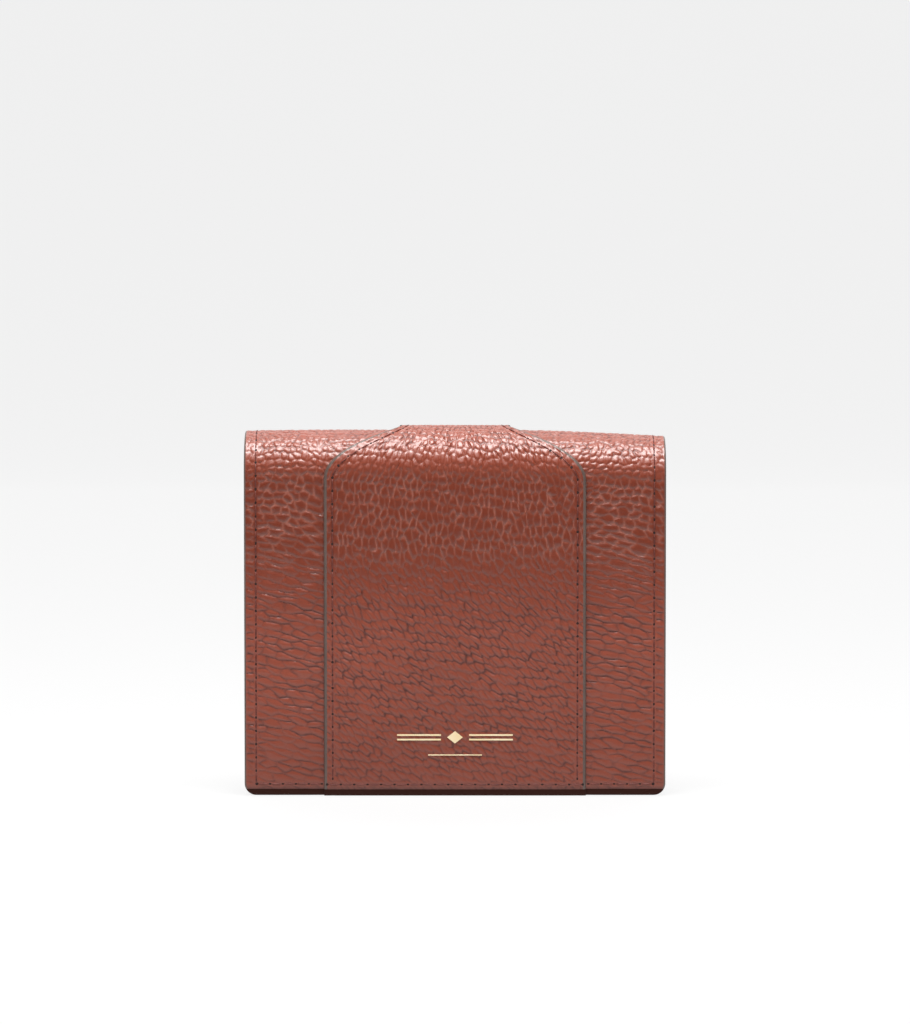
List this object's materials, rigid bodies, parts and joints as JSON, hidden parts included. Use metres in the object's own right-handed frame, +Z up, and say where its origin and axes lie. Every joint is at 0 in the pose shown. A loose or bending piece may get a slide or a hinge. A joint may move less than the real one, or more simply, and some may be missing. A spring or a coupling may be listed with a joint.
{
  "type": "trifold wallet",
  "caption": "Snap-closed trifold wallet in pebbled leather, with an arched overlay over its top fold, stepped card pockets, a window pocket and a zip coin pocket.",
  "frame": {"origin": "middle of the footprint, at the bottom fold that the closed wallet stands on", "axes": "+Z up along the standing wallet, -Y out of the front flap, +Y out of the back with the zip, +X along the folds"},
  "size_m": [0.102, 0.022, 0.089],
  "materials": {
    "shell_leather": "pebbled, satin",
    "lining": "smooth, matte",
    "pocket_leather": "fine grain, satin",
    "zip_cloth": "woven, matte",
    "gold_metal": "polished pale gold",
    "steel": "satin",
    "clear_film": "clear flexible film"
  },
  "bodies": {
    "middle": {"back_leather": "shell_leather", "back_lining": "lining", "overlay_back_tab": "shell_leather", "coin_pocket_wall": "zip_cloth", "bill_divider": "lining", "middle_base": "lining", "card_tier_1": "pocket_leather", "card_tier_2": "pocket_leather", "card_tier_3": "pocket_leather", "card_tier_4": "pocket_leather", "zip_tape_upper": "zip_cloth", "zip_tape_lower": "zip_cloth", "zip_teeth_upper": "gold_metal", "zip_teeth_lower": "gold_metal", "zip_stop_left": "gold_metal", "zip_stop_right": "gold_metal"},
    "top_spine": {"top_fold_leather": "shell_leather", "top_fold_lining": "lining", "overlay_neck": "shell_leather"},
    "flap": {"flap_leather": "shell_leather", "overlay_front": "shell_leather", "flap_lining": "lining", "id_window_film": "clear_film", "id_window_frame": "pocket_leather", "snap_cap": "steel", "snap_socket": "gold_metal"},
    "bottom_spine": {"bottom_fold_leather": "shell_leather", "bottom_fold_lining": "lining"},
    "panel": {"panel_leather": "shell_leather", "panel_lining": "lining", "panel_tier_1": "pocket_leather", "panel_tier_2": "pocket_leather", "snap_stud": "gold_metal", "snap_post": "steel"},
    "zip_runner": {"zip_slider": "gold_metal", "zip_bridge": "gold_metal"},
    "zip_pull": {"zip_pull_ring": "gold_metal", "zip_pull_tab": "shell_leather"}
  },
  "joints": [
    {"name": "top_spine_fold", "type": "hinge", "parent": "middle", "child": "top_spine", "pos_m": [0, 0.00726, 0.08526], "axis": [-1, 0, 0], "range_deg": [0, 90]},
    {"name": "flap_fold", "type": "hinge", "parent": "top_spine", "child": "flap", "pos_m": [0, -0.00726, 0.08526], "axis": [-1, 0, 0], "range_deg": [0, 90]},
    {"name": "bottom_spine_fold", "type": "hinge", "parent": "middle", "child": "bottom_spine", "pos_m": [0, 0.00831, 0.00154], "axis": [1, 0, 0], "range_deg": [0, 90]},
    {"name": "panel_fold", "type": "hinge", "parent": "bottom_spine", "child": "panel", "pos_m": [0, -0.00376, 0.00154], "axis": [1, 0, 0], "range_deg": [0, 90]},
    {"name": "zip_slide", "type": "slide", "parent": "middle", "child": "zip_runner", "axis": [-1, 0, 0], "range_m": [0, 0.068]},
    {"name": "zip_pull_swing", "type": "hinge", "parent": "zip_runner", "child": "zip_pull", "pos_m": [0.033, 0.0102, 0.052], "axis": [1, 0, 0], "range_deg": [0, 150]}
  ],
  "couplings": [
    {"joint": "flap_fold", "follows": "top_spine_fold", "ratio": 1},
    {"joint": "bottom_spine_fold", "follows": "top_spine_fold", "ratio": 1},
    {"joint": "panel_fold", "follows": "top_spine_fold", "ratio": 1}
  ]
}
